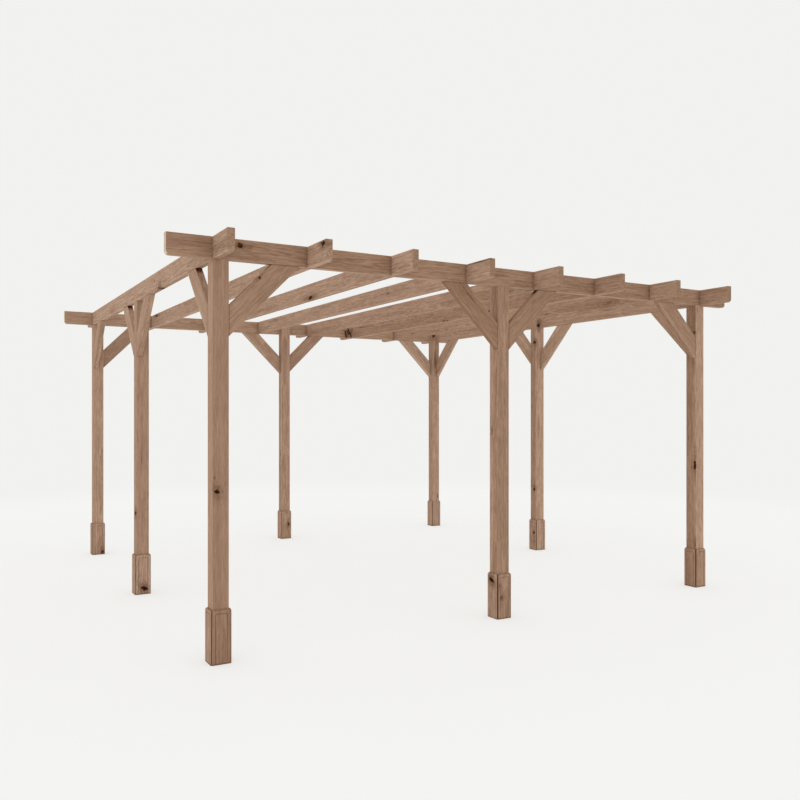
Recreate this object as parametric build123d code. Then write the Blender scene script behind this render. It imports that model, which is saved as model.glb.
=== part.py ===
from build123d import *
import os

# Wooden pergola: eight posts, two beams and eight rafters halved into each other, sixteen knee braces.
# Millimetres. X runs along the front, Y from the front to the back, Z up.
# The origin is on the ground at the centre of the plan.

# Driving dimensions
bay_width = 2008         # post centre to post centre along the front and the back
bay_depth = 2008         # post centre to post centre along each side
roof_height = 2431       # ground to the top of the beams and rafters
post_size = 95           # square posts
timber_depth = 125       # height of a beam or rafter
timber_thickness = 44    # thickness of a beam or rafter
beam_overhang = 262      # from the outer face of a post to the end of a beam
rafter_overhang = 266    # from the outer face of a post to the end of a rafter
rafter_count = 8
tail_radius = 24         # rounded lower corner at each beam and rafter end
brace_width = 125        # across a knee brace, square to its length
brace_thickness = 44
brace_reach = 438        # from the inner corner of post and beam to the brace's lower edge, both ways
trim_height = 310        # boards round the foot of each post
trim_thickness = 13
trim_gap = 5             # shadow gap between the mitred edges of neighbouring foot boards
trim_corner_radius = 18  # rounded upper corners of a foot board, seen face on
trim_chamfer = 3         # eased outer edges of a foot board
trim_bead = 20           # plain margin round a foot board, outside its scored line
trim_quirk = 3           # width and depth of the scored line
trim_quirk_radius = 12   # rounded upper corners of the scored line
arris_size = 1.5         # eased long edges of every timber
joint_clearance = 0.5    # each side of a timber in its halving notch

# Places that follow from them
halving_depth = timber_depth / 2
underside = roof_height - timber_depth
outer_x = bay_width + post_size / 2
outer_y = bay_depth + post_size / 2
beam_length = 2 * (outer_x + beam_overhang)
rafter_length = 2 * (outer_y + rafter_overhang)
rafter_pitch = (2 * outer_x - timber_thickness) / (rafter_count - 1)
rafter_x = [-outer_x + timber_thickness / 2 + i * rafter_pitch for i in range(rafter_count)]
beam_y = [-outer_y + timber_thickness / 2, outer_y - timber_thickness / 2]

# The eight posts: name, then column (-1 left, 0 middle, 1 right) and row (-1 front, 0 middle, 1 back)
posts = {
    "front_left": (-1, -1),
    "front_middle": (0, -1),
    "front_right": (1, -1),
    "left_middle": (-1, 0),
    "right_middle": (1, 0),
    "back_left": (-1, 1),
    "back_middle": (0, 1),
    "back_right": (1, 1),
}
directions = {"left": (-1, 0), "right": (1, 0), "front": (0, -1), "back": (0, 1)}


def beam_envelope(y, height=timber_depth, top=roof_height, side_clearance=0):
    """Box round a beam at this Y, or round part of its height."""
    place = Pos(0, y, top - height / 2)
    return place * Box(beam_length, timber_thickness + 2 * side_clearance, height)


def rafter_envelope(x, height=timber_depth, top=roof_height, side_clearance=0):
    """Box round a rafter at this X, or round part of its height."""
    place = Pos(x, 0, top - height / 2)
    return place * Box(timber_thickness + 2 * side_clearance, rafter_length, height)


def roof_timber(length):
    """A straight timber along X, centred, its top at Z 0, with rounded lower corners and eased edges."""
    side = Pos(0, -timber_depth / 2) * Rectangle(length, timber_depth)
    lower_corners = side.vertices().group_by(Axis.Y)[0]
    side = fillet(lower_corners, tail_radius)
    timber = extrude(Plane.XZ * side, amount=timber_thickness / 2, both=True)
    broad_faces = timber.faces().filter_by(Axis.Y)
    return chamfer(broad_faces.edges(), arris_size)


def beam(y):
    """A beam along X, notched from above for every rafter."""
    timber = Pos(0, y, roof_height) * roof_timber(beam_length)
    for x in rafter_x:
        timber -= rafter_envelope(x, halving_depth, roof_height, joint_clearance)
    return timber


def rafter(x):
    """A rafter along Y, notched from below so that it drops over both beams."""
    timber = Pos(x, 0, roof_height) * Rot(Z=90) * roof_timber(rafter_length)
    for y in beam_y:
        timber -= beam_envelope(y, halving_depth, underside + halving_depth, joint_clearance)
    return timber


def post(column, row):
    """A post cut back on its outer faces, so that the roof timbers sit on its shoulders
    and its tongue stands behind them."""
    stick = Pos(0, 0, roof_height / 2) * Box(post_size, post_size, roof_height)
    stick = chamfer(stick.edges().filter_by(Axis.Z), arris_size)
    stick = Pos(column * bay_width, row * bay_depth) * stick
    for y in beam_y:
        stick -= beam_envelope(y)
    for x in rafter_x:
        stick -= rafter_envelope(x)
    return stick


def foot_board():
    """One board of a foot trim, standing in front of a post at the origin: eased outer edges, rounded
    upper corners, mitred sides, and a line scored along its sides and top."""
    outer_width = post_size + 2 * trim_thickness - trim_gap * 2 ** 0.5
    inner_width = outer_width - 2 * trim_thickness
    board = extrude(Plane.XZ * board_outline(outer_width, 0, trim_corner_radius), amount=trim_thickness)
    outer_face = board.faces().sort_by(Axis.Y)[0]
    board = chamfer(outer_face.edges().sort_by(Axis.Z)[1:], min(trim_chamfer, trim_thickness / 2))
    mitred_plan = Polyline(
        (-inner_width / 2, 0),
        (inner_width / 2, 0),
        (outer_width / 2, -trim_thickness),
        (-outer_width / 2, -trim_thickness),
        close=True,
    )
    board &= extrude(make_face(mitred_plan), amount=trim_height)
    scored = board_outline(outer_width, trim_bead, trim_quirk_radius)
    scored -= board_outline(outer_width, trim_bead + trim_quirk, trim_quirk_radius - trim_quirk)
    board -= Pos(0, trim_quirk - trim_thickness) * extrude(Plane.XZ * scored, amount=trim_quirk)
    return Pos(0, -post_size / 2) * board


def board_outline(width, margin, corner_radius):
    """A foot board seen face on, drawn in by a margin at its sides and top, its upper corners rounded."""
    across, up = width - 2 * margin, trim_height - margin
    outline = Pos(0, up / 2) * Rectangle(across, up)
    upper_corners = outline.vertices().group_by(Axis.Y)[-1]
    return fillet(upper_corners, min(corner_radius, across / 4))


def foot_trim(column, row):
    """Four boards on the faces of a post's foot, with a shadow gap at each corner."""
    boards = [Rot(Z=turn) * foot_board() for turn in (0, 90, 180, 270)]
    return Pos(column * bay_width, row * bay_depth) * Compound(boards)


def brace(column, row, direction):
    """A knee brace from a post's face up to the underside of the timber above it,
    its outer face flush with the post's and the timber's."""
    along_x, along_y = directions[direction]
    upper_reach = brace_reach - brace_width * 2 ** 0.5
    outline = Polyline((0, -brace_reach), (0, -upper_reach), (upper_reach, 0), (brace_reach, 0), close=True)
    stick = extrude(Plane.XZ * make_face(outline), amount=brace_thickness / 2, both=True)
    stick = chamfer(stick.edges().filter_by(is_sloping), arris_size)
    if along_x:
        turn = 0 if along_x > 0 else 180
        place = Pos(along_x * post_size / 2, row * (post_size - brace_thickness) / 2, underside)
    else:
        turn = 90 * along_y
        place = Pos(column * (post_size - brace_thickness) / 2, along_y * post_size / 2, underside)
    return Pos(column * bay_width, row * bay_depth) * place * Rot(Z=turn) * stick


def is_sloping(edge):
    """True for an edge that runs up a brace, neither level nor upright."""
    return 0.1 < abs(edge.tangent_at(0).Z) < 0.9


def braced_directions(column, row):
    """The ways in which a post's braces run: along its sides of the plan, towards its neighbours."""
    ways = []
    if row != 0:
        ways += [name for name, (x, _) in directions.items() if x != 0 and x != column]
    if column != 0:
        ways += [name for name, (_, y) in directions.items() if y != 0 and y != row]
    return ways


os.makedirs("parts", exist_ok=True)
nodes = {"beam_front": beam(beam_y[0]), "beam_back": beam(beam_y[1])}
for i, x in enumerate(rafter_x, start=1):
    nodes[f"rafter_{i}"] = rafter(x)
for name, (column, row) in posts.items():
    nodes[f"post_{name}"] = post(column, row)
    nodes[f"foot_trim_{name}"] = foot_trim(column, row)
    for direction in braced_directions(column, row):
        nodes[f"brace_{name}_to_{direction}"] = brace(column, row, direction)
for name, shape in nodes.items():
    export_step(shape, f"parts/{name}.step")
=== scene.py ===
import math
from functools import partial

import bmesh
import bpy
from mathutils import Matrix, Vector


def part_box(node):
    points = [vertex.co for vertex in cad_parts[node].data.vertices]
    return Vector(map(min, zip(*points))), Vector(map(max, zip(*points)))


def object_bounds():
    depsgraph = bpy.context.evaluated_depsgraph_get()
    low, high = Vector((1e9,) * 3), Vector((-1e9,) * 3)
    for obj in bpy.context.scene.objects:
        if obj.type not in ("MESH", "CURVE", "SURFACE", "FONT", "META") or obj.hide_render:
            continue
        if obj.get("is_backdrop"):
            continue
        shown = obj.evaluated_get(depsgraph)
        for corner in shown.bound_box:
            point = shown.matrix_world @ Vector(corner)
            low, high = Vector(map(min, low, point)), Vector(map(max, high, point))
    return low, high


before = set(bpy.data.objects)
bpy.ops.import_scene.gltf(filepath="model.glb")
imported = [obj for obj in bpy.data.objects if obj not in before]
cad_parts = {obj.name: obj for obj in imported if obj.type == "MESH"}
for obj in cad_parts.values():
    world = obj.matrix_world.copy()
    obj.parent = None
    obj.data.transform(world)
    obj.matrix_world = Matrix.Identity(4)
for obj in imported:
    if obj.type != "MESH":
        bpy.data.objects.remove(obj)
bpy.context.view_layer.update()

# ---- Posts ------------------------------------------------------------------------------------
# Eight square softwood posts stand on the ground, three along the front, three along the back and
# one midway on each side. They are planed, stained a warm brown, and their grain stands upright.
# Every timber of the frame is stained alike, so the stained wood is made here for them all.


def add_node(tree, kind, inputs=None, **settings):
    """Adds a shader node, and feeds its inputs with plain values or with other nodes' outputs."""
    made = tree.nodes.new("ShaderNode" + kind)
    for setting, value in settings.items():
        setattr(made, setting, value)
    for socket, value in (inputs or {}).items():
        if isinstance(value, bpy.types.NodeSocket):
            tree.links.new(value, made.inputs[socket])
        else:
            made.inputs[socket].default_value = value
    return made


def number(tree, operation, *values):
    """The result of one Math node."""
    return add_node(tree, "Math", dict(enumerate(values)), operation=operation).outputs[0]


def vector(tree, operation, *values):
    """The result of one Vector Math node."""
    made = add_node(tree, "VectorMath", dict(enumerate(values)), operation=operation)
    return made.outputs["Value" if operation in ("LENGTH", "DOT_PRODUCT") else "Vector"]


def scaled(tree, value, amount):
    """A vector or a colour times a number."""
    return add_node(tree, "VectorMath", {0: value, 3: amount}, operation="SCALE").outputs["Vector"]


def parts_of(tree, place):
    """The three numbers of a vector."""
    return add_node(tree, "SeparateXYZ", {0: place}).outputs


def fade(tree, value, start, end):
    """A mask that rises smoothly from 0 where the value is at start to 1 where it is at end."""
    inputs = {"Value": value, "From Min": start, "From Max": end}
    return add_node(tree, "MapRange", inputs, interpolation_type="SMOOTHSTEP").outputs["Result"]


def overlay(tree, amount, under, over):
    """One colour laid over another by a mask."""
    return add_node(tree, "Mix", {0: amount, 6: under, 7: over}, data_type="RGBA").outputs[2]


def figure(tree, place, seed, repeats, detail=2.0, output="Fac"):
    """Noise that repeats this many times a metre along the grain and the two ways across it."""
    moved = vector(tree, "MULTIPLY_ADD", place, repeats, seed)
    return add_node(tree, "TexNoise", {"Vector": moved, "Scale": 1.0, "Detail": detail}).outputs[output]


def start_group(name, inputs, outputs):
    """A shader node group with named sockets: its tree, what it is given and what it gives back."""
    tree = bpy.data.node_groups.new(name, "ShaderNodeTree")
    for socket, kind in inputs.items():
        tree.interface.new_socket(socket, in_out="INPUT", socket_type="NodeSocket" + kind)
    for socket, kind in outputs.items():
        tree.interface.new_socket(socket, in_out="OUTPUT", socket_type="NodeSocket" + kind)
    return tree, tree.nodes.new("NodeGroupInput").outputs, tree.nodes.new("NodeGroupOutput").inputs


# A branch grew outwards from the pith, widening as it went, and shows as a knot where a face cuts it:
# ringed, with a dark rim and a dark heart. Its shape is how far it is narrowed along the grain and
# across it, and how far it leans. Near is 0 in its middle and 1 at its bark.
knot_rings, knot_rim, thinnest_knot = 26.0, 0.85, 0.0002
knot, given, result = start_group(
    "knot",
    {"Vector": "Vector", "Place": "Vector", "Radius": "Float", "Shape": "Vector", "Dark": "Float"},
    {"Core": "Float", "Halo": "Float", "Bend": "Float"},
)
sideways = vector(knot, "MULTIPLY", given["Place"], (0, 1, 1))
outward = vector(knot, "NORMALIZE", sideways)
reached = vector(knot, "DOT_PRODUCT", given["Vector"], outward)
grown = number(knot, "DIVIDE", reached, vector(knot, "LENGTH", sideways))
girth = number(knot, "MULTIPLY", given["Radius"], fade(knot, grown, 0.0, 1.0))
offset = vector(knot, "SUBTRACT", given["Vector"], given["Place"])
across = vector(knot, "DOT_PRODUCT", offset, vector(knot, "CROSS_PRODUCT", (1, 0, 0), outward))
shape = parts_of(knot, given["Shape"])
along = number(knot, "MULTIPLY_ADD", across, shape[2], parts_of(knot, offset)[0])
aside = add_node(knot, "CombineXYZ", {0: along, 1: across}).outputs[0]
aside = vector(knot, "MULTIPLY", aside, given["Shape"])
uneven = figure(knot, given["Vector"], (3, 3, 3), (35, 60, 60), 1.0)
ragged = number(knot, "MULTIPLY_ADD", uneven, 1.6, 0.2)
ragged = number(knot, "DIVIDE", ragged, number(knot, "MAXIMUM", girth, thinnest_knot))
near = number(knot, "MULTIPLY", vector(knot, "LENGTH", aside), ragged)
streak = vector(knot, "LENGTH", vector(knot, "MULTIPLY", aside, (0.35, 1, 0)))
ringed = number(knot, "SINE", number(knot, "MULTIPLY", near, knot_rings))
ringed = number(knot, "MULTIPLY", ringed, 0.12)
rim = number(knot, "ABSOLUTE", number(knot, "SUBTRACT", near, knot_rim))
rim = fade(knot, rim, 0.16, 0.04)
middle = number(knot, "MULTIPLY", fade(knot, near, 0.75, 0.3), 0.95)
core = number(knot, "MAXIMUM", number(knot, "MULTIPLY", rim, 0.85), middle)
core = number(knot, "ADD", number(knot, "MAXIMUM", core, 0.55), ringed)
core = number(knot, "MULTIPLY", core, fade(knot, near, 1.1, knot_rim))
knot.links.new(number(knot, "MULTIPLY", core, given["Dark"]), result["Core"])
halo = fade(knot, number(knot, "MULTIPLY", streak, ragged), 2.2, 0.5)
halo = number(knot, "MULTIPLY", halo, number(knot, "MINIMUM", given["Dark"], 1.0))
knot.links.new(number(knot, "MULTIPLY", halo, fade(knot, girth, 0.0, 0.006)), result["Halo"])
knot.links.new(number(knot, "MULTIPLY", fade(knot, near, 4.5, 0.4), girth), result["Bend"])

# Smaller branches come by chance: at most one in each stretch of the timber, in any direction.
branch_reach = 0.06
branches, given, result = start_group(
    "branches",
    {"Vector": "Vector", "Apart": "Float", "Radius": "Float", "Share": "Float", "Seed": "Float"},
    {"Core": "Float", "Halo": "Float", "Bend": "Float"},
)
stretch = number(branches, "DIVIDE", parts_of(branches, given["Vector"])[0], given["Apart"])
stretch = number(branches, "FLOOR", stretch)
drawn = number(branches, "ADD", stretch, given["Seed"])
drawn = add_node(branches, "TexWhiteNoise", {"W": drawn}, noise_dimensions="1D").outputs
chances = parts_of(branches, drawn["Color"])
spot = number(branches, "ADD", stretch, number(branches, "MULTIPLY_ADD", drawn["Value"], 0.4, 0.3))
turned = number(branches, "MULTIPLY", chances[0], math.tau)
place = {
    0: number(branches, "MULTIPLY", spot, given["Apart"]),
    1: number(branches, "MULTIPLY", number(branches, "COSINE", turned), branch_reach),
    2: number(branches, "MULTIPLY", number(branches, "SINE", turned), branch_reach),
}
kept = number(branches, "LESS_THAN", chances[1], given["Share"])
girth = number(branches, "MULTIPLY", number(branches, "MULTIPLY_ADD", chances[2], 0.7, 0.3), kept)
branch = {
    "Vector": given["Vector"],
    "Place": add_node(branches, "CombineXYZ", place).outputs[0],
    "Radius": number(branches, "MULTIPLY", girth, given["Radius"]),
    "Shape": (0.85, 1, 0),
    "Dark": number(branches, "MULTIPLY_ADD", drawn["Value"], 0.7, 0.5),
}
branch = add_node(branches, "Group", branch, node_tree=knot).outputs
for name in ("Core", "Halo", "Bend"):
    branches.links.new(branch[name], result[name])

# The rings lie round a pith that wanders a little, pushed out round the knots, and closer together in
# some years than in others. Each ring darkens slowly to its late wood and pales at once after it.
rings_a_metre, pith_wander = 170.0, 0.05
rings, given, result = start_group(
    "growth_rings",
    {"Vector": "Vector", "Bend": "Float", "Seed": "Float"},
    {"Latewood": "Float", "Depth": "Float"},
)
wander = figure(rings, given["Vector"], given["Seed"], (0.9, 0, 0), 1.0, "Color")
wander = scaled(rings, vector(rings, "SUBTRACT", wander, (0.5, 0.5, 0.5)), pith_wander)
lean = vector(rings, "MULTIPLY", vector(rings, "ADD", given["Vector"], wander), (0, 1, 1))
waviness = figure(rings, given["Vector"], given["Seed"], (2.5, 14, 14), 2.0)
depth = number(rings, "MULTIPLY_ADD", waviness, 0.012, vector(rings, "LENGTH", lean))
depth = number(rings, "SUBTRACT", depth, given["Bend"])
years = number(rings, "MULTIPLY", depth, rings_a_metre)
weather = {"W": years, "Scale": 0.35, "Detail": 1.0}
weather = add_node(rings, "TexNoise", weather, noise_dimensions="1D").outputs["Fac"]
years = number(rings, "MULTIPLY_ADD", weather, 3.0, years)
season = number(rings, "FRACT", years)
late = number(rings, "MULTIPLY", fade(rings, season, 0.3, 0.9), fade(rings, season, 1.0, 0.95))
rings.links.new(late, result["Latewood"])
rings.links.new(depth, result["Depth"])

# Stained softwood: rings, streaks and flecks under a thin stain that takes unevenly, with dark knots,
# fine drying cracks, paler arrises that are partly worn and partly a painted highlight, end grain of its
# own colour, and darkening in the joints and corners that is partly dust and partly painted shade.
# Figure is how strongly the grain shows, and Side Tone is for the two faces that the timber's width runs
# between: a tone of the wood on the posts and foot boards, and painted light and shade on the other
# timbers.
grain_tint, face_shift = (0.58, 0.53, 0.5), (0, 0.37, 0.83)
dust_and_shade_colour = (0.11, 0.034, 0.008, 1)
crack_colour = (0.06, 0.028, 0.015, 1)
knot_halo = (0.14, 0.07, 0.038, 1)
knot_wood = (0.095, 0.037, 0.016, 1)
knot_heart = (0.02, 0.006, 0.002, 1)
stained, given, result = start_group(
    "stained_softwood",
    {
        "Vector": "Vector",
        "Facing": "Vector",
        "Half Size": "Vector",
        "Pith": "Vector",
        "Seed": "Float",
        "Core": "Float",
        "Halo": "Float",
        "Bend": "Float",
        "Figure": "Float",
        "Dust And Painted Shade": "Float",
        "Side Tone And Painted Light": "Color",
        "Heartwood": "Color",
        "Sapwood": "Color",
        "End Grain": "Color",
        "Sap Depth": "Float",
    },
    {"Color": "Color", "Roughness": "Float", "Height": "Float"},
)
place, seed = given["Vector"], given["Seed"]
from_pith = vector(stained, "SUBTRACT", place, given["Pith"])
ring = {"Vector": from_pith, "Bend": given["Bend"], "Seed": seed}
ring = add_node(stained, "Group", ring, node_tree=rings).outputs
late = ring["Latewood"]
# The streaks and flecks of each face are its own, so they don't run round the arris in stripes.
sawn = vector(stained, "FLOOR", vector(stained, "ADD", given["Facing"], (0.5, 0.5, 0.5)))
sawn = vector(stained, "MULTIPLY_ADD", sawn, face_shift, place)
fibre = figure(stained, place, seed, (14, 700, 700))
line = figure(stained, sawn, seed, (4.5, 80, 80), 3.0)
fleck = figure(stained, sawn, seed, (15, 95, 95))
streak = figure(stained, sawn, seed, (1.3, 30, 30), 3.0)
cloud = figure(stained, sawn, seed, (2.6, 9, 9))
pore = fade(stained, figure(stained, place, seed, (24, 330, 330), 1.0), 0.58, 0.7)
crack = number(stained, "SUBTRACT", figure(stained, place, seed, (0.5, 17, 17), 1.0), 0.5)
crack = fade(stained, number(stained, "ABSOLUTE", crack), 0.006, 0.001)
split = fade(stained, figure(stained, place, seed, (1.6, 9, 9), 1.0), 0.58, 0.68)
crack = number(stained, "MULTIPLY", crack, split)
inward = vector(stained, "SUBTRACT", given["Half Size"], vector(stained, "ABSOLUTE", place))
inward = parts_of(stained, inward)
# Paler within a few millimetres of the long arrises: partly worn stain, partly a painted highlight.
arris = fade(stained, number(stained, "MAXIMUM", inward[1], inward[2]), 0.004, 0.001)
end = number(stained, "ABSOLUTE", parts_of(stained, given["Facing"])[0])
end = fade(stained, end, 0.35, 0.95)
sap = number(stained, "MULTIPLY_ADD", streak, 0.02, ring["Depth"])
sap = number(stained, "SUBTRACT", sap, given["Sap Depth"])
colour = overlay(stained, fade(stained, sap, 0.006, 0.02), given["Heartwood"], given["Sapwood"])
colour = overlay(stained, end, colour, given["End Grain"])
dark = vector(stained, "MULTIPLY", colour, grain_tint)
grainy = number(stained, "MULTIPLY_ADD", line, 1.1, number(stained, "MULTIPLY", fleck, 1.3))
grainy = number(stained, "MULTIPLY_ADD", streak, 0.34, grainy)
grainy = fade(stained, grainy, 0.92, 1.82)
grainy = number(stained, "MULTIPLY_ADD", late, 0.34, number(stained, "MULTIPLY", grainy, 0.7))
grainy = number(stained, "MULTIPLY_ADD", pore, 0.4, grainy)
grainy = number(stained, "SUBTRACT", grainy, 0.5)
grainy = number(stained, "MULTIPLY_ADD", grainy, given["Figure"], 0.5)
colour = overlay(stained, grainy, colour, dark)
tone = number(stained, "MULTIPLY_ADD", fibre, 0.48, 0.76)
tone = number(stained, "MULTIPLY", tone, number(stained, "MULTIPLY_ADD", cloud, 0.28, 0.86))
tone = number(stained, "MULTIPLY", tone, number(stained, "MULTIPLY_ADD", arris, 0.08, 1.0))
# On the tops and undersides of beams, rafters and braces this side tone is painted light and shade; on
# posts and foot boards it is the wood's tone.
side = number(stained, "ABSOLUTE", parts_of(stained, given["Facing"])[1])
side = overlay(stained, side, (1, 1, 1, 1), given["Side Tone And Painted Light"])
colour = scaled(stained, vector(stained, "MULTIPLY", colour, side), tone)
# Darkens joints, seams and corners: partly dust, partly painted shade.
colour = overlay(stained, given["Dust And Painted Shade"], colour, dust_and_shade_colour)
colour = overlay(stained, number(stained, "MULTIPLY", given["Halo"], 0.5), colour, knot_halo)
heart = overlay(stained, fade(stained, given["Core"], 0.35, 1.0), knot_wood, knot_heart)
colour = overlay(stained, fade(stained, given["Core"], 0.0, 0.35), colour, heart)
colour = overlay(stained, number(stained, "MULTIPLY", crack, 0.6), colour, crack_colour)
rough = number(stained, "MULTIPLY_ADD", late, -0.06, 0.86)
rough = number(stained, "MULTIPLY_ADD", given["Core"], -0.1, rough)
height = number(stained, "MULTIPLY_ADD", fibre, 0.5, number(stained, "MULTIPLY", late, 0.5))
height = number(stained, "MULTIPLY_ADD", line, 0.6, height)
height = number(stained, "MULTIPLY_ADD", crack, -2.0, height)
stained.links.new(colour, result["Color"])
stained.links.new(rough, result["Roughness"])
stained.links.new(height, result["Height"])

heartwood = (0.425, 0.269, 0.18)
sapwood = (0.525, 0.348, 0.245)
end_grain = (0.38, 0.24, 0.16)


def stain_and_painted_light_tone(shade, colour=(1, 1, 1)):
    """A colour made lighter or darker, the darker the redder: the stain a timber took, and painted light
    and shade on the undersides of beams, rafters and braces.
    """
    return [part * shade ** power for part, power in zip(colour, (1, 1.25, 1.45))] + [1]


def stain(name, grain, width, pith, seed, knots_and_shade_marks=(), dust_and_shade=None, boards=None, **finish):
    """Stains one timber. Its grain runs along grain and its width along width, and its pith lies off
    its middle by the two amounts in pith. A larger knot is a place on a face and a radius; how dark it
    is and the three numbers of its shape may follow, and a few such marks are painted shade drawn as
    knots. Its joint function makes the mask of the darkening in its joints and corners, partly dust and
    partly painted shade, and the node group boards counts each place from the board that it is on.
    Each seed draws other branches and another figure, and finish holds what isn't as usual: how pale
    the timber and its sides are (on undersides, painted light and shade), how strong its figure is,
    its end grain, its sapwood's depth or its half size."""
    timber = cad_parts[name]
    turn = Matrix((grain, width, grain.cross(width)))
    lain = [turn @ vertex.co for vertex in timber.data.vertices]
    low = Vector([min(point[axis] for point in lain) for axis in range(3)])
    high = Vector([max(point[axis] for point in lain) for axis in range(3)])
    middle = (low + high) / 2
    centre = Vector((0, *pith))
    shade = finish.get("shade", 1.0)
    material = bpy.data.materials.new("stained_" + name)
    material.use_nodes = True
    tree = material.node_tree
    surface = add_node(tree, "TexCoord").outputs
    lie = {"Vector": surface["Object"], "Location": -middle, "Rotation": turn.to_euler()}
    lie = add_node(tree, "Mapping", lie).outputs[0]
    if boards:
        lie = add_node(tree, "Group", {"Vector": lie}, node_tree=boards).outputs[0]
    facing = {"Vector": surface["Normal"], "Rotation": turn.to_euler()}
    facing = add_node(tree, "Mapping", facing, vector_type="VECTOR").outputs[0]
    from_pith = vector(tree, "SUBTRACT", lie, centre)
    chance = {"Vector": from_pith, "Apart": 0.6, "Radius": 0.008, "Share": 0.35, "Seed": seed * 11.0}
    grown = [add_node(tree, "Group", chance, node_tree=branches).outputs]
    for spot, girth, *shape in knots_and_shade_marks:
        spot = turn @ Vector(spot) - middle
        if boards:
            spot = on_board(spot)
        dark, *shape = shape or (1.0, 0.85, 1, 0)
        known = {"Vector": from_pith, "Place": spot - centre, "Radius": girth}
        known |= {"Shape": shape, "Dark": dark}
        grown.append(add_node(tree, "Group", known, node_tree=knot).outputs)
    masks = {mask: grown[0][mask] for mask in ("Core", "Halo", "Bend")}
    for more in grown[1:]:
        masks = {mask: number(tree, "MAXIMUM", masks[mask], more[mask]) for mask in masks}
    wood = {
        "Vector": lie,
        "Facing": facing,
        "Half Size": finish.get("half_size", (high - low) / 2),
        "Pith": centre,
        "Seed": seed * 3.7,
        "Figure": finish.get("figure", 1.0),
        "Dust And Painted Shade": dust_and_shade(tree, surface["Object"]) if dust_and_shade else 0.0,
        "Side Tone And Painted Light": stain_and_painted_light_tone(finish.get("side", 1.0)),
        "Heartwood": stain_and_painted_light_tone(shade, heartwood),
        "Sapwood": stain_and_painted_light_tone(shade, sapwood),
        "End Grain": finish.get("ends", (*end_grain, 1)),
        "Sap Depth": finish.get("sap_depth", 0.07),
        **masks,
    }
    wood = add_node(tree, "Group", wood, node_tree=stained).outputs
    relief = add_node(tree, "Bump", {"Height": wood["Height"], "Distance": 0.0006, "Strength": 0.8})
    shader = tree.nodes["Principled BSDF"]
    shader.inputs["Specular IOR Level"].default_value = 0.04
    tree.links.new(wood["Color"], shader.inputs["Base Color"])
    tree.links.new(wood["Roughness"], shader.inputs["Roughness"])
    tree.links.new(relief.outputs[0], shader.inputs["Normal"])
    timber.data.materials.clear()
    timber.data.materials.append(material)


upright, crosswise, lengthwise = Vector((0, 0, 1)), Vector((1, 0, 0)), Vector((0, 1, 0))
# Where each post's pith lies, how pale it is, and how pale its left and right faces are beside it.
post_finish = {
    "front_left": ((0.12, 0.02), 0.83, 1.18),
    "front_middle": ((0.01, -0.02), 1.01, 1.07),
    "front_right": ((-0.03, 0.035), 1.04, 0.93),
    "left_middle": ((0, 0.12), 0.92, 1.05),
    "right_middle": ((-0.02, 0.035), 1.09, 0.96),
    "back_left": ((0.02, 0.02), 1.03, 1.0),
    "back_middle": ((-0.02, 0.03), 0.98, 1.15),
    "back_right": ((0.03, 0.03), 1.03, 0.9),
}
# The grain shows more faintly in three of the posts.
post_figures = {"front_left": 0.55, "left_middle": 0.65, "back_left": 0.85}
post_knots_and_shade_marks = {
    "front_left": [
        ((-2.03, -2.056, 0.981), 0.0135, 1.2, 1.2, 1.5, 0.5),
        ((-2.03, -2.056, 1.01), 0.022, 0.1, 0.8, 1, 0),
        ((-2.048, -2.056, 1.062), 0.006, 0.2, 0.7, 2, 0),
    ],
    "front_middle": [((-0.047, -1.986, 1.3), 0.012, 0.2, 0.35, 1, 0)],
    "front_right": [
        ((1.961, -2.054, 0.995), 0.012, 1.3, 0.35, 2.5, 0),
        ((1.961, -2.03, 0.98), 0.018, 0.15, 1, 0.9, 0),
        ((1.961, -2.0545, 0.35), 0.004, 0.22, 0.07, 1, 0),
        # Painted shade in the V between the brace and the post: a long dark streak by the arris and a
        # darker patch at its tip, drawn as soft knots.
        ((1.961, -2.039, 2.2), 0.01, 0.1, 0.1, 1, 0),
        ((1.961, -2.044, 2.083), 0.01, 0.25, 0.7, 1, 0),
    ],
    "left_middle": [((-2.056, -0.01, 0.635), 0.012)],
    "right_middle": [
        ((1.985, -0.047, 2.33), 0.017),
        ((1.961, -0.015, 2.15), 0.012),
        ((1.961, -0.012, 0.627), 0.009, 1.4, 0.8, 0.9, 0),
        ((1.961, -0.006, 0.66), 0.012, 0.2, 0.6, 1, 0),
    ],
    "back_right": [((1.97, 1.961, 2.375), 0.014), ((1.998, 1.961, 2.07), 0.017, 0.22, 0.14, 1, 0)],
}
for seed, (spot, (pith, shade, side)) in enumerate(post_finish.items(), start=1):
    knots_and_shade_marks = post_knots_and_shade_marks.get(spot, [])
    finish = {"shade": shade, "side": side, "figure": post_figures.get(spot, 1.0)}
    stain("post_" + spot, upright, crosswise, pith, seed, knots_and_shade_marks, **finish)

# ---- Foot trims -------------------------------------------------------------------------------
# Four mitred softwood boards stand round the foot of each post, fixed to its faces and open at the
# corners by a thin seam. Each board has its own grain, and a scored line along its sides and top.

foot_low, foot_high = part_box("foot_trim_front_left")
foot_reach = (foot_high.x - foot_low.x) / 2
seam_inset = 0.0035
line_reach, line_top, line_radius = foot_reach - 0.025, foot_high.z - 0.0215, 0.0105

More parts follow.
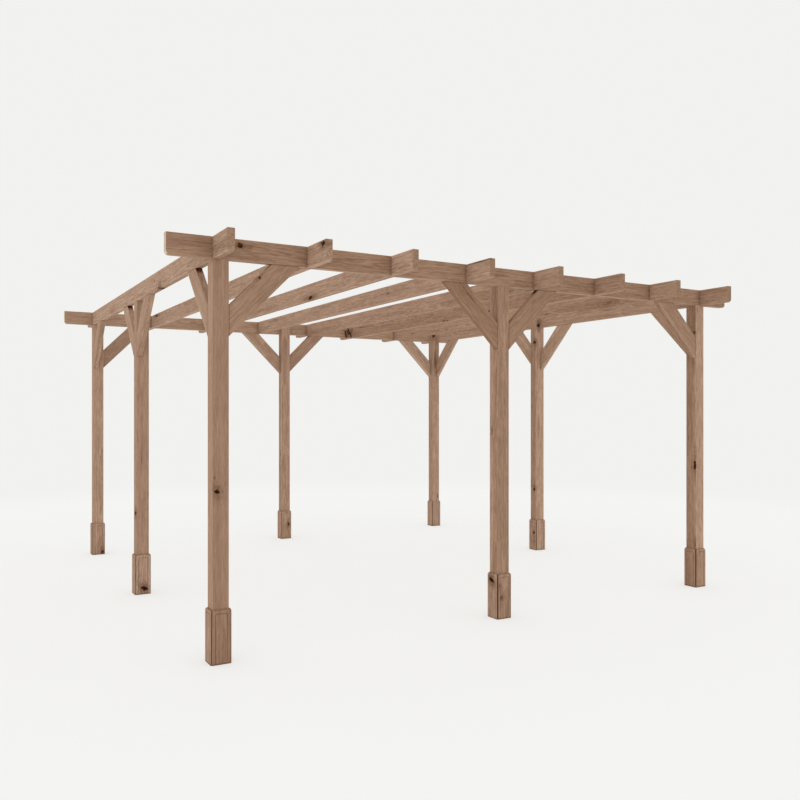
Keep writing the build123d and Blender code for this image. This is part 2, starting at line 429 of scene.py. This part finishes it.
# Each board lies on its own face: along its grain, across it, and out from the post. The four take
# their figure from stretches of wood that lie well apart.
board_shift = 3.1
on_face, given, result = start_group("boards_round_post", {"Vector": "Vector"}, {"Vector": "Vector"})
whole = parts_of(on_face, given["Vector"])
sideways, outward = number(on_face, "ABSOLUTE", whole[1]), number(on_face, "ABSOLUTE", whole[2])
second = number(on_face, "GREATER_THAN", sideways, outward)
swapped = add_node(on_face, "CombineXYZ", {0: whole[0], 1: whole[2], 2: whole[1]}).outputs[0]
lying = {0: second, 4: given["Vector"], 5: swapped}
lying = parts_of(on_face, add_node(on_face, "Mix", lying, data_type="VECTOR").outputs[1])
which = number(on_face, "GREATER_THAN", lying[2], 0.0)
which = number(on_face, "MULTIPLY_ADD", second, 2.0, which)
lying = {
    0: number(on_face, "MULTIPLY_ADD", which, board_shift, lying[0]),
    1: lying[1],
    2: number(on_face, "ABSOLUTE", lying[2]),
}
on_face.links.new(add_node(on_face, "CombineXYZ", lying).outputs[0], result["Vector"])


def on_board(spot):
    """A place on a foot board, counted as its own grain is."""
    along, across, out = spot
    second = abs(across) > abs(out)
    if second:
        across, out = out, across
    return Vector((along + board_shift * (2 * second + (out > 0)), across, abs(out)))


def in_seams(tree, place, post_middle, seam_grime_and_shade):
    """Darkening in the seams between the boards, partly grime and partly painted shade in the gaps;
    painted shade in their scored lines; and darker near the ground.
    """
    off = vector(tree, "ABSOLUTE", vector(tree, "SUBTRACT", place, post_middle))
    off, up = parts_of(tree, off), parts_of(tree, place)[2]
    from_seam = number(tree, "ABSOLUTE", number(tree, "SUBTRACT", off[0], off[1]))
    # Grime and painted shade in the open corner seams.
    seam = number(tree, "MULTIPLY", fade(tree, from_seam, 0.011, 0.0045), seam_grime_and_shade)
    # Painted shade along the scored line.
    across = number(tree, "MINIMUM", off[0], off[1])
    across = number(tree, "SUBTRACT", across, line_reach - line_radius)
    above = number(tree, "SUBTRACT", up, line_top - line_radius)
    corner = add_node(tree, "CombineXYZ", {0: across, 1: above}).outputs[0]
    outside = vector(tree, "LENGTH", vector(tree, "MAXIMUM", corner, (0, 0, 0)))
    inside = number(tree, "MINIMUM", number(tree, "MAXIMUM", across, above), 0.0)
    line = number(tree, "SUBTRACT", number(tree, "ADD", outside, inside), line_radius)
    line = number(tree, "MULTIPLY", fade(tree, number(tree, "ABSOLUTE", line), 0.0028, 0.0014), 0.15)
    ground = number(tree, "MULTIPLY", fade(tree, up, 0.016, 0.0), 0.5)
    return number(tree, "MAXIMUM", number(tree, "MAXIMUM", seam, line), ground)


front_middle_knots = [
    ((-0.044, -2.069, 0.232), 0.009, 0.2, 0.7, 1, 0),
    ((-0.031, -2.069, 0.148), 0.014, 0.25, 0.8, 1, 0.4),
    ((-0.06, -1.997, 0.264), 0.018, 1.6, 1.3, 0.64, 0.38),
]
right_middle_knots = [
    ((1.947, -0.021, 0.179), 0.012),
    ((1.947, -0.021, 0.09), 0.02, 0.15, 0.7, 1, 0),
]
# How pale each trim is, how pale its left and right faces are beside it, the grime and painted shade in
# its seams, and its knots.
feet = {
    "front_left": (0.78, 1.34, 0.35, []),
    "front_middle": (0.87, 1.18, 0.8, front_middle_knots),
    "front_right": (0.95, 0.88, 0.8, []),
    "left_middle": (1.06, 1.0, 0.2, [((-1.997, -0.06, 0.047), 0.0145, 1.4, 1.0, 0.56, -0.4)]),
    "right_middle": (1.17, 0.89, 0.6, right_middle_knots),
    "back_left": (1.0, 1.0, 0.1, [((-1.972, 1.947, 0.025), 0.012)]),
    "back_middle": (1.0, 1.0, 0.2, [((0.025, 1.947, 0.163), 0.012)]),
    "back_right": (1.05, 1.0, 0.4, []),
}
for seed, (spot, (shade, side, seam_grime_and_shade, knots_and_shade_marks)) in enumerate(feet.items(), start=21):
    name = "foot_trim_" + spot
    foot_low, foot_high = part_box(name)
    foot_middle = (foot_low + foot_high) / 2
    dust_and_shade = partial(in_seams, post_middle=foot_middle, seam_grime_and_shade=seam_grime_and_shade)
    finish = {"shade": shade, "side": side, "half_size": (1.0, foot_reach - seam_inset, foot_reach)}
    finish["figure"] = 0.7 if spot == "front_left" else 1.0
    stain(name, upright, crosswise, (0.01, -0.01), seed, knots_and_shade_marks, dust_and_shade, on_face, **finish)

# ---- Beams ------------------------------------------------------------------------------------
# Two long softwood beams lie across the tops of the front and back posts, notched for the rafters.
# Their lower end corners are rounded, the grain runs from end to end, and the ends were sawn after
# staining and are bare.

bare_end = (0.8, 0.67, 0.53, 1)
first_rafter, last_rafter, rafter_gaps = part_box("rafter_1"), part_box("rafter_8"), 7
rafter_spacing = (last_rafter[0].x - first_rafter[0].x) / rafter_gaps
thickness = first_rafter[1].x - first_rafter[0].x


def beside_rafters(tree, place):
    """Darkening on a beam along both sides of every rafter that is let into it, partly dust and partly
    painted shade, less towards its left end.
    """
    run = parts_of(tree, place)[0]
    off = number(tree, "SUBTRACT", run, (first_rafter[0].x + first_rafter[1].x) / 2)
    off = number(tree, "PINGPONG", off, rafter_spacing / 2)
    off = number(tree, "ABSOLUTE", number(tree, "SUBTRACT", off, thickness / 2))
    darkening_strength = number(tree, "MULTIPLY", fade(tree, run, -2.6, -1.2), 0.22)
    return number(tree, "MULTIPLY", fade(tree, off, 0.03, 0.0), darkening_strength)


beam_knots = {
    "front": [((-1.892, -2.056, 2.392), 0.013, 1.0, 0.8, 1, 0.3)],
    "back": [
        ((0.828, 2.011, 2.362), 0.02, 1.4, 1.7, 0.45, -0.5),
        ((0.8, 2.011, 2.372), 0.014, 1.3, 1.7, 0.45, -0.5),
        ((0.775, 2.011, 2.348), 0.018, 1.4, 1.7, 0.45, -0.3),
        ((0.79, 2.011, 2.36), 0.04, 0.15, 1, 0.8, 0),
    ],
}
beam_shades = {"front": 0.96, "back": 1.15}
# The side tone of 1.4 makes each beam's top and underside paler: painted light.
for seed, (side, knots_and_shade_marks) in enumerate(beam_knots.items(), start=41):
    finish = {"shade": beam_shades[side], "side": 1.4, "ends": bare_end, "sap_depth": 0.3}
    stain("beam_" + side, crosswise, upright, (0.01, -0.07), seed, knots_and_shade_marks, beside_rafters, **finish)

# ---- Rafters ----------------------------------------------------------------------------------
# Eight softwood rafters lie across both beams, halved over them so that their tops run level.
# Their lower end corners are rounded like the beams', and both ends stand out past the beams.

rafter_knots_and_shade_marks = {
    # Painted shade: a dark mark on rafter 1's lower edge, a shadow gap drawn as a knot.
    1: [((-2.034, -0.785, 2.306), 0.018, 1.5, 0.9, 1, 0)],
    2: [
        ((-1.474, -2.287, 2.409), 0.013, 1.6, 0.62, 1.05, 0),
        ((-1.474, -2.258, 2.416), 0.006, 0.5, 0.5, 1, 0),
        ((-1.474, 1.79, 2.41), 0.012, 1.3, 0.4, 1, 0),
    ],
    3: [((-0.893, -0.772, 2.32), 0.013, 1.5, 0.4, 1, 0)],
    4: [
        ((-0.312, -0.965, 2.371), 0.011, 0.25, 1, 0.8, 0),
        ((-0.312, -2.21, 2.425), 0.006, 0.3, 0.05, 1, 0),
    ],
    6: [
        ((0.85, 0.005, 2.312), 0.006, 1.3, 0.6, 1, 0),
        ((0.85, -0.055, 2.308), 0.005, 1.3, 0.6, 1, 0),
        ((0.85, -0.74, 2.33), 0.012, 0.3, 0.4, 1, 0),
    ],
    7: [((1.431, -1.605, 2.34), 0.02, 0.14, 0.4, 1, 0.5)],
}
back_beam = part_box("beam_back")


def beside_beams(tree, place):
    """Darkening on a rafter along both sides of each beam, partly dust and partly painted shade; the
    beams lie as far forwards as back.
    """
    off = number(tree, "ABSOLUTE", parts_of(tree, place)[1])
    off = number(tree, "SUBTRACT", off, (back_beam[0].y + back_beam[1].y) / 2)
    off = number(tree, "SUBTRACT", number(tree, "ABSOLUTE", off), thickness / 2)
    off = number(tree, "ABSOLUTE", off)
    return number(tree, "MULTIPLY", fade(tree, off, 0.012, 0.0), 0.15)


# How pale each rafter is, how pale its underside and top are beside it (painted light), and how pale its
# ends are.
rafter_finish = (
    (1.03, 1.22, 1.07),
    (1.06, 1.12, 1.15),
    (1.05, 1.15, 1.04),
    (1.01, 1.05, 1.0),
    (0.96, 1.12, 1.0),
    (0.82, 1.3, 1.0),
    (0.93, 1.07, 1.0),
    (0.93, 1.1, 1.0),
)
for count, (shade, side, end_shade) in enumerate(rafter_finish, start=1):
    pith = (0.03 * (-1) ** count, 0.07)
    knots_and_shade_marks = rafter_knots_and_shade_marks.get(count, [])
    ends = stain_and_painted_light_tone(end_shade, end_grain)
    finish = {"shade": shade, "side": side, "ends": ends, "sap_depth": 0.09}
    stain(f"rafter_{count}", lengthwise, upright, pith, count + 50, knots_and_shade_marks, beside_beams, **finish)

# ---- Braces -----------------------------------------------------------------------------------
# Sixteen short softwood braces run at 45 degrees from the posts up to the beams and the side rafters,
# cut flat at both ends and fixed in the middle of the post's face.

brace_knots = {
    "brace_front_left_to_right": [((-1.775, -2.056, 2.22), 0.006, 0.8, 0.8, 1, 0)],
    "brace_front_middle_to_left": [
        ((-0.34, -2.056, 2.275), 0.006, 0.12, 0.06, 1, 0.02),
        ((-0.267, -2.056, 2.204), 0.009, 0.17, 0.13, 1, 0),
        ((-0.15, -2.056, 2.092), 0.006, 0.1, 0.05, 1, -0.02),
        ((-0.345, -2.056, 2.235), 0.012, 0.1, 0.4, 1, 0),
    ],
}
# How pale each brace is where it isn't as the rest are, and two undersides that are darker: painted
# shade.
usual_shade = 1.22
brace_shades = {
    "brace_back_left_to_right": 1.18,
    "brace_back_middle_to_right": 1.12,
    "brace_back_right_to_front": 1.18,
    "brace_back_right_to_left": 1.35,
    "brace_front_left_to_right": 1.04,
    "brace_front_middle_to_left": 0.89,
    "brace_front_middle_to_right": 0.97,
    "brace_front_right_to_left": 1.03,
    "brace_right_middle_to_back": 1.26,
    "brace_right_middle_to_front": 1.28,
}
brace_underside_shade = {"brace_left_middle_to_front": 0.96, "brace_back_left_to_front": 0.9}
runs = {"left": (-1, 0), "right": (1, 0), "front": (0, -1), "back": (0, 1)}


def at_ends(tree, place, along, face, top, upper):
    """Darkening where the brace meets its post, partly dust and partly painted shade, and painted shade
    deeper in the wedge under the timber overhead.
    """
    parts = parts_of(tree, place)
    off = number(tree, "ABSOLUTE", number(tree, "SUBTRACT", parts[along], face))
    under = number(tree, "SUBTRACT", top, parts[2])
    joint = fade(tree, number(tree, "MINIMUM", off, under), 0.009, 0.0)
    joint = number(tree, "MULTIPLY", joint, 0.55)
    facing = vector(tree, "DOT_PRODUCT", add_node(tree, "TexCoord").outputs["Normal"], upper)
    wedge = number(tree, "MULTIPLY", fade(tree, facing, 0.7, 0.9), fade(tree, under, 0.045, 0.01))
    return number(tree, "MAXIMUM", joint, wedge)


braces = sorted(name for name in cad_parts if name.startswith("brace_"))
for seed, name in enumerate(braces, start=71):
    low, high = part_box(name)
    run = runs[name.split("_to_")[1]]
    grain = Vector((*run, 1)).normalized()
    upper = Vector((-run[0], -run[1], 1)).normalized()
    along = 0 if run[0] else 1
    face = (low if sum(run) > 0 else high)[along]
    dust_and_shade = partial(at_ends, along=along, face=face, top=high.z, upper=upper)
    knots_and_shade_marks = brace_knots.get(name, [])
    finish = {"shade": brace_shades.get(name, usual_shade), "side": brace_underside_shade.get(name, 1.0)}
    finish |= {"sap_depth": 0.12, "figure": 0.8 if name.startswith("brace_front") else 1.0}
    stain(name, grain, upper, (0.03, 0.06), seed, knots_and_shade_marks, dust_and_shade, **finish)

# ---- Studio -----------------------------------------------------------------------------------
# The frame stands in a plain studio: a pale floor runs out into an even pale background, and soft
# light comes from all round.


def seen_directly(tree):
    """Whether a ray comes from the camera, straight or by way of metal or glass."""
    paths = add_node(tree, "LightPath").outputs
    seen = number(tree, "MAXIMUM", paths["Is Camera Ray"], paths["Is Glossy Ray"])
    return number(tree, "MAXIMUM", seen, paths["Is Transmission Ray"])


floor_radius, floor_fades_from, floor_fades_to, floor_glow = 14, 6.5, 9.5, 0.6
floor = bpy.data.objects.new("floor", bpy.data.meshes.new("floor"))
bpy.context.scene.collection.objects.link(floor)
ground = bmesh.new()
bmesh.ops.create_circle(ground, cap_ends=True, segments=96, radius=floor_radius)
ground.to_mesh(floor.data)
ground.free()
floor_paint = bpy.data.materials.new("floor")
floor_paint.use_nodes = True
tree = floor_paint.node_tree
shader = tree.nodes["Principled BSDF"]
shader.inputs["Base Color"].default_value = (0.9, 0.9, 0.885, 1)
shader.inputs["Roughness"].default_value = 1
shader.inputs["Specular IOR Level"].default_value = 0
spread = vector(tree, "LENGTH", add_node(tree, "TexCoord").outputs["Object"])
glow = add_node(tree, "Emission", {"Color": (0.925, 0.925, 0.908, 1), "Strength": 1.0}).outputs[0]
seen = seen_directly(tree)
lit = {0: number(tree, "MULTIPLY", seen, floor_glow), 1: shader.outputs[0], 2: glow}
lit = add_node(tree, "MixShader", lit).outputs[0]
clear = add_node(tree, "BsdfTransparent").outputs[0]
faded = {0: fade(tree, spread, floor_fades_from, floor_fades_to), 1: lit, 2: clear}
faded = add_node(tree, "MixShader", faded).outputs[0]
tree.links.new(faded, tree.nodes["Material Output"].inputs["Surface"])
floor.data.materials.append(floor_paint)
floor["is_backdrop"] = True

world = bpy.data.worlds.new("studio")
bpy.context.scene.world = world
world.use_nodes = True
tree = world.node_tree
even = tree.nodes["Background"]
even.inputs["Color"].default_value = (1, 1, 1, 1)
even.inputs["Strength"].default_value = 1.0
backdrop = {"Color": (0.885, 0.885, 0.868, 1), "Strength": 1.0}
backdrop = add_node(tree, "Background", backdrop).outputs[0]
shown = {0: seen_directly(tree), 1: even.outputs[0], 2: backdrop}
shown = add_node(tree, "MixShader", shown).outputs[0]
tree.links.new(shown, tree.nodes["World Output"].inputs["Surface"])

# ---- Camera -----------------------------------------------------------------------------------
# The frame is seen from a viewer's eye level, in front of its left end, and turned a little to the
# right. The camera stands level, so that the posts stay upright in the view.

camera_data = bpy.data.cameras.new("camera")
camera = bpy.data.objects.new("camera", camera_data)
bpy.context.scene.collection.objects.link(camera)
camera_data.lens = 36
camera_data.sensor_width = 36
camera_data.shift_y = 0.0134
camera.location = (-3.4011, -6.5110, 1.4427)
camera.rotation_euler = (math.radians(90), 0, math.radians(-29.99))
bpy.context.scene.camera = camera
bpy.context.scene.view_settings.view_transform = "Standard"

low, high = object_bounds()
